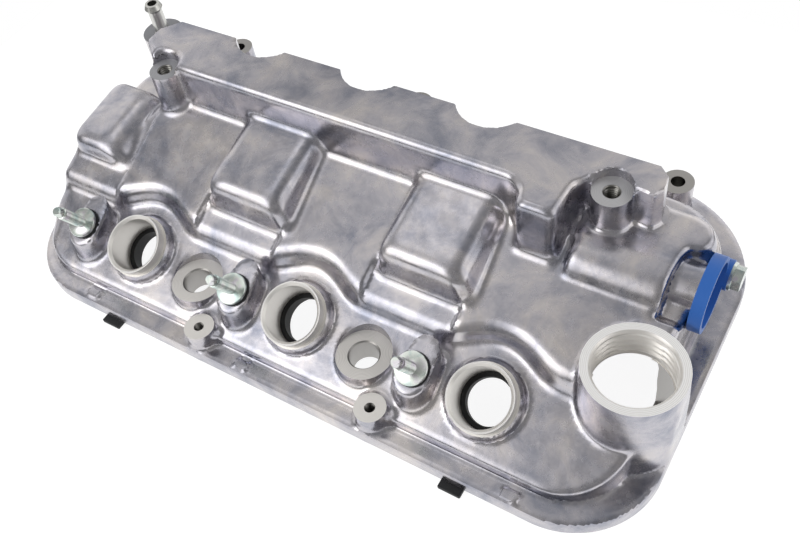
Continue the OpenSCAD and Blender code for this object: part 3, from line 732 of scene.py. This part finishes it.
# Valve neck and ear: a face at the right end and a hole of some depth in it
for name, spot, r, depth in (("neckFace", VALVE, 15.5, 0), ("neckBore", VALVE, 9.1, 26),
                             ("earFace", EAR, 8.6, 0), ("earHole", EAR, 3.02, 16)):
    cut(name, [(r, RIGHT - depth), (r, RIGHT + 14)], (0,) + spot, "x")

for thing in cutters:
    trim = cover.modifiers.new(thing.name, "BOOLEAN")
    trim.operation = "DIFFERENCE"
    trim.solver = "MANIFOLD"
    trim.object = thing
    trim.material_mode = "TRANSFER"
bpy.context.view_layer.update()
depsgraph = bpy.context.evaluated_depsgraph_get()
done = bpy.data.meshes.new_from_object(cover.evaluated_get(depsgraph))
cover.modifiers.clear()
cover.data = done
for thing in cutters:
    bpy.data.objects.remove(thing)

# The walls that the four upright face cutters leave are as cast, only the floor is turned
normals = np.empty(len(done.polygons) * 3, np.float32)
done.polygons.foreach_get("normal", normals)
slots = np.empty(len(done.polygons), np.int32)
done.polygons.foreach_get("material_index", slots)
names = [m.name for m in done.materials]
upright = [names.index(look.name) for look in turned[:4]]
walls = np.isin(slots, upright) & (normals.reshape(-1, 3)[:, 2] < 0.9)
slots[walls] = names.index(cast.name)
done.polygons.foreach_set("material_index", slots)
print("stage: machined", len(done.polygons), "faces")


# Moves a piece from the flange's millimetres to the frame's metres.
def place(thing):
    mesh = thing.data
    co = np.empty(len(mesh.vertices) * 3, np.float32)
    mesh.vertices.foreach_get("co", co)
    mesh.vertices.foreach_set("co", toFrame(co.reshape(-1, 3)).astype(np.float32).ravel())
    mesh.update()
    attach(thing, "root")


def smooth(mesh, degrees):
    mesh.polygons.foreach_set("use_smooth", np.ones(len(mesh.polygons), bool))
    mesh.set_sharp_from_angle(angle=math.radians(degrees))


place(cover)
smooth(cover.data, 34)
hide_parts("cover")
print("stage: cover placed")

# Coil studs: a plain foot, a disc, an M6 thread and a narrower tip
STUD_PIECE = {
    "foot": [(3, -10), (3, -0.2), (7.3, -0.1), (7.7, 0.2), (7.7, 1.5), (7.4, 1.8), (3.1, 1.85)],
    "tip": [(2.5, 17.2), (2.5, 20), (1.8, 21)],
    "radius": 3, "rings": 152, "thread": screwThread(*THREADS["stud"], 2.4, 17.0, -1)}


def studRadius(angle, h, r):
    if 2.0 < h < 17.1 and r == STUD_PIECE["radius"]:
        return STUD_PIECE["thread"](angle, h, r)
    return np.full(len(angle), r)


for i, x in enumerate(STUDS, 1):
    shank = [(STUD_PIECE["radius"], 1.9 + 0.1 * k) for k in range(STUD_PIECE["rings"])]
    profile = STUD_PIECE["foot"] + shank + STUD_PIECE["tip"]
    stud = lathe("stud_piece_%d" % i, profile, (x,) + STUD, "tilt", mats["zinc"], 48, studRadius)
    place(stud)
    smooth(stud.data, 40)
    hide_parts("stud_%d" % i)

# Section as inset from the flange's edge and height, tabs as middles and size
GASKET = {"section": [(4.0, -1.6), (4.5, -2.3), (5.3, -2.5), (6.7, -2.5), (7.5, -2.3),
                      (8.0, -1.6), (8.0, 2.8), (4.0, 2.8)],
          "tabs": [(-102, 0.9, -1.3), (97, 0.9, -1.3)], "tab": (11, 9, 2.4), "round": 0.5}


# Gasket: a crowned bead in the groove, with two tabs that locate it in front
def gasketPiece():
    loops = [atHeight(rails(inset), h) for inset, h in GASKET["section"]]
    points, faces = ringed(loops, closed=False)
    n, m = len(loops[0]), len(loops)
    a = np.arange(n)
    b = (a + 1) % n
    faces += [tuple(q) for q in np.stack([a + (m - 1) * n, b + (m - 1) * n, b, a], 1)]
    piece = solid("gasket_piece", points, faces, mats["rubber"])
    tidy = bmesh.new()
    tidy.from_mesh(piece.data)
    for middle in GASKET["tabs"]:
        made = bmesh.ops.create_cube(tidy, size=1)["verts"]
        for v in made:
            v.co = [m + c * size for m, c, size in zip(middle, v.co, GASKET["tab"])]
        edges = list({e for v in made for e in v.link_edges})
        bmesh.ops.bevel(tidy, geom=edges, offset=GASKET["round"], segments=2, affect="EDGES",
                        profile=0.5)
    tidy.to_mesh(piece.data)
    tidy.free()
    place(piece)
    smooth(piece.data, 40)
    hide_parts("gasket")


gasketPiece()

looks = {"plug_ring": "rubber", "plug_bolt": "zinc", "baffle": "sheet",
         "valve_plug": "blue", "nipple": "turned"}
looks.update({"tube_seal_%d" % k: "rubber" for k in (1, 2, 3)})
looks.update({"stud_ring_%d" % k: "rubber" for k in (1, 2, 3)})
looks.update({"baffle_screw_%d" % k: "zinc" for k in (1, 2, 3, 4)})
for name, look in looks.items():
    node = nodes[name]
    node.data.materials.clear()
    node.data.materials.append(mats[look])
print("stage: fittings")

# World: dim as a light, white to the rays that see it
world = bpy.data.worlds.new("studio")
bpy.context.scene.world = world
world.use_nodes = True
tree = world.node_tree


# One for camera, glossy and transmission rays, nought for the rays that only light.
def seenDirectly(tree):
    path = tree.nodes.new("ShaderNodeLightPath")
    total = path.outputs["Is Camera Ray"]
    for name in ("Is Glossy Ray", "Is Transmission Ray"):
        most = addNode(tree, "ShaderNodeMath", operation="MAXIMUM")
        tree.links.new(total, most.inputs[0])
        tree.links.new(path.outputs[name], most.inputs[1])
        total = most.outputs[0]
    return total


background = tree.nodes["Background"]
background.inputs["Color"].default_value = (0.88, 0.89, 0.92, 1)
background.inputs["Strength"].default_value = 0.40
mix = tree.nodes.new("ShaderNodeMixShader")
white = addNode(tree, "ShaderNodeBackground", Color=(1, 1, 1, 1), Strength=1.0)
tree.links.new(seenDirectly(tree), mix.inputs["Fac"])
tree.links.new(background.outputs[0], mix.inputs[1])
tree.links.new(white.outputs[0], mix.inputs[2])
tree.links.new(mix.outputs[0], tree.nodes["World Output"].inputs["Surface"])


# Aimed at the middle of the cover. Glossy rays don't see it: the metal mirrors the tent.
def addLamp(name, width, height, power, where):
    data = bpy.data.lights.new(name, "AREA")
    data.shape = "RECTANGLE"
    data.size, data.size_y = width, height
    data.energy = power
    lamp = bpy.data.objects.new(name, data)
    lamp.visible_glossy = False
    bpy.context.scene.collection.objects.link(lamp)
    aim = Vector(toFrame((0, 90, 40))) - Vector(where)
    turn = aim.to_track_quat("-Z", "Y").to_matrix().to_4x4()
    lamp.matrix_world = Matrix.Translation(where) @ turn


addLamp("key", 0.7, 0.35, 12, (-0.75, -1.05, 0.75))
addLamp("back", 0.9, 0.3, 6.5, (0.5, 1.2, 1.0))
addLamp("side", 0.3, 0.8, 3.2, (1.1, -0.1, 0.5))

# The tent that the metal mirrors: a sphere seen by glossy rays alone. Each lobe is
# a direction, the cosine where it starts, the cosine where it is full, and its strength.
TENT = {"radius": 2.0, "base": 0.30, "lobes": [
    ((-0.47, -0.74, 0.48), 0.88, 0.955, 1.55),
    ((-0.40, -0.55, 0.73), 0.90, 0.985, 0.68),
    ((-0.40, -0.25, 0.88), 0.80, 0.99, 0.06),
    ((-0.40, -0.90, -0.16), 0.78, 0.96, -0.16),
    ((-0.37, 0.12, 0.92), 0.93, 0.995, 0.20),
    ((-0.37, 0.13, 0.92), 0.978, 0.997, 0.60),
    ((-0.25, -0.16, 0.95), 0.95, 0.995, 0.15),
    ((-0.26, 0.65, 0.71), 0.96, 0.997, 0.15),
    ((-0.15, 0.45, 0.88), 0.86, 1.0, 0.26),
    ((0.85, 0.35, 0.40), 0.75, 0.95, 0.9),
    ((-0.90, 0.30, 0.30), 0.80, 0.95, 0.7),
    ((0.10, 0.95, 0.30), 0.85, 0.97, 0.8),
    ((0.0, 0.0, -1.0), 0.10, 0.60, -0.12)]}


def addTent():
    steps, rings = 48, 24
    angle = np.arange(steps) * 2 * math.pi / steps
    loops = [np.stack([math.sin(t) * np.cos(angle), math.sin(t) * np.sin(angle),
                       np.full(steps, math.cos(t))], 1)
             for t in np.linspace(0.02, math.pi - 0.02, rings)]
    points, faces = ringed(loops)
    material = bpy.data.materials.new("tent_cloth")
    material.use_nodes = True
    tree = material.node_tree
    tree.nodes.remove(tree.nodes["Principled BSDF"])
    tent = solid("tent", points * TENT["radius"], faces, material)
    tent.data.polygons.foreach_set("use_smooth", [True] * len(faces))
    coords = addNode(tree, "ShaderNodeTexCoord")
    unit = addNode(tree, "ShaderNodeVectorMath", operation="NORMALIZE")
    tree.links.new(coords.outputs["Object"], unit.inputs[0])
    total = None
    for direction, low, high, strength in TENT["lobes"]:
        dot = addNode(tree, "ShaderNodeVectorMath", operation="DOT_PRODUCT")
        dot.inputs[1].default_value = Vector(direction).normalized()
        tree.links.new(unit.outputs[0], dot.inputs[0])
        lobe = addNode(tree, "ShaderNodeMapRange", interpolation_type="SMOOTHSTEP")
        for socket, value in (("From Min", low), ("From Max", high), ("To Max", strength)):
            lobe.inputs[socket].default_value = value
        tree.links.new(dot.outputs["Value"], lobe.inputs["Value"])
        add = addNode(tree, "ShaderNodeMath", operation="ADD")
        add.inputs[0].default_value = TENT["base"]
        if total:
            tree.links.new(total, add.inputs[0])
        tree.links.new(lobe.outputs["Result"], add.inputs[1])
        total = add.outputs[0]
    cloud = addNode(tree, "ShaderNodeTexNoise", Scale=1.6, Detail=3.0, Roughness=0.6)
    tree.links.new(coords.outputs["Object"], cloud.inputs["Vector"])
    spread = addNode(tree, "ShaderNodeMapRange")
    for socket, value in (("From Min", 0.3), ("From Max", 0.7), ("To Min", 0.6), ("To Max", 1.4)):
        spread.inputs[socket].default_value = value
    tree.links.new(cloud.outputs["Fac"], spread.inputs["Value"])
    times = addNode(tree, "ShaderNodeMath", operation="MULTIPLY")
    tree.links.new(total, times.inputs[0])
    tree.links.new(spread.outputs["Result"], times.inputs[1])
    glow = addNode(tree, "ShaderNodeEmission", Color=(1.0, 0.99, 0.98, 1))
    tree.links.new(times.outputs[0], glow.inputs["Strength"])
    tree.links.new(glow.outputs[0], tree.nodes["Material Output"].inputs["Surface"])
    for ray in ("camera", "diffuse", "shadow", "transmission", "volume_scatter"):
        setattr(tent, "visible_" + ray, False)


addTent()

FLOOR = {"size": 0.34, "lift": 0.88}
sweep, tree, shader = newMaterial("white_sweep", "#909090", 0, 0.9)
glow = addNode(tree, "ShaderNodeEmission", Color=(1, 1, 1, 1))
lift = addNode(tree, "ShaderNodeMath", operation="MULTIPLY")
lift.inputs[1].default_value = FLOOR["lift"]
tree.links.new(seenDirectly(tree), lift.inputs[0])
tree.links.new(lift.outputs[0], glow.inputs["Strength"])
both = tree.nodes.new("ShaderNodeAddShader")
tree.links.new(shader.outputs[0], both.inputs[0])
tree.links.new(glow.outputs[0], both.inputs[1])
tree.links.new(both.outputs[0], tree.nodes["Material Output"].inputs["Surface"])
corners = np.array([(-1, -1, 0), (1, -1, 0), (1, 1, 0), (-1, 1, 0)]) * FLOOR["size"]
floor = meshObject("floor", corners, [[0, 1, 2, 3]], sweep)

bpy.context.scene.view_settings.view_transform = "Standard"
